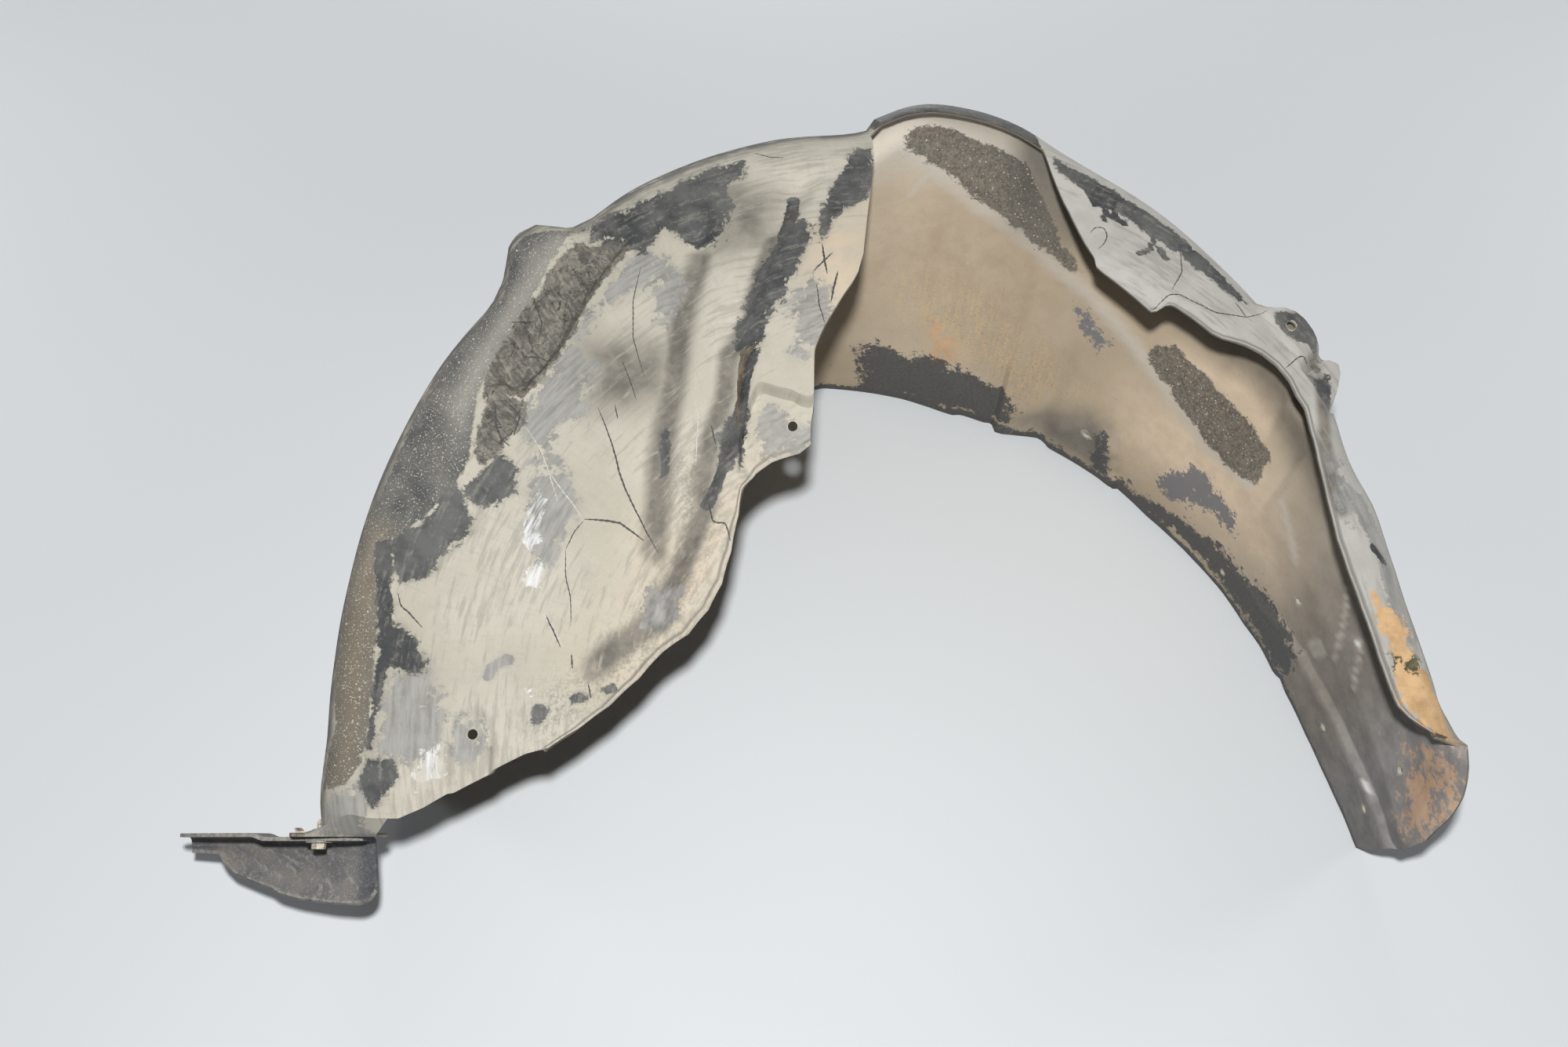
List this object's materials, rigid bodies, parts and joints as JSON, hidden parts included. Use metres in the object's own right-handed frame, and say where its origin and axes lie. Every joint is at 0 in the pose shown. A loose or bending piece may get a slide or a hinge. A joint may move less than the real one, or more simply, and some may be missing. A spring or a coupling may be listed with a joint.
{
  "type": "wheel arch liner",
  "caption": "Moulded plastic front wheel arch liner with a large side wall, a strut opening and a small screwed-on wheel air deflector.",
  "frame": {"origin": "middle of the part's outline, level with the fender edge it lies on", "axes": "+X across the two legs towards the narrow leg, +Y towards the crown of the arch, +Z along the wheel axis from the fender edge to the side wall"},
  "size_m": [0.8344, 0.5084, 0.3058],
  "materials": {
    "liner_plastic": "black moulded plastic under dry pale dust and brown mud",
    "deflector_plastic": "black moulded plastic, dusty and scuffed",
    "clip_steel": "dull dusty sheet steel",
    "washer_steel": "dull zinc plated steel",
    "screw_steel": "dull steel, dusty"
  },
  "bodies": {
    "root": {"liner": "liner_plastic", "deflector": "deflector_plastic", "clip": "clip_steel", "washer": "washer_steel", "screw": "screw_steel"}
  },
  "joints": []
}
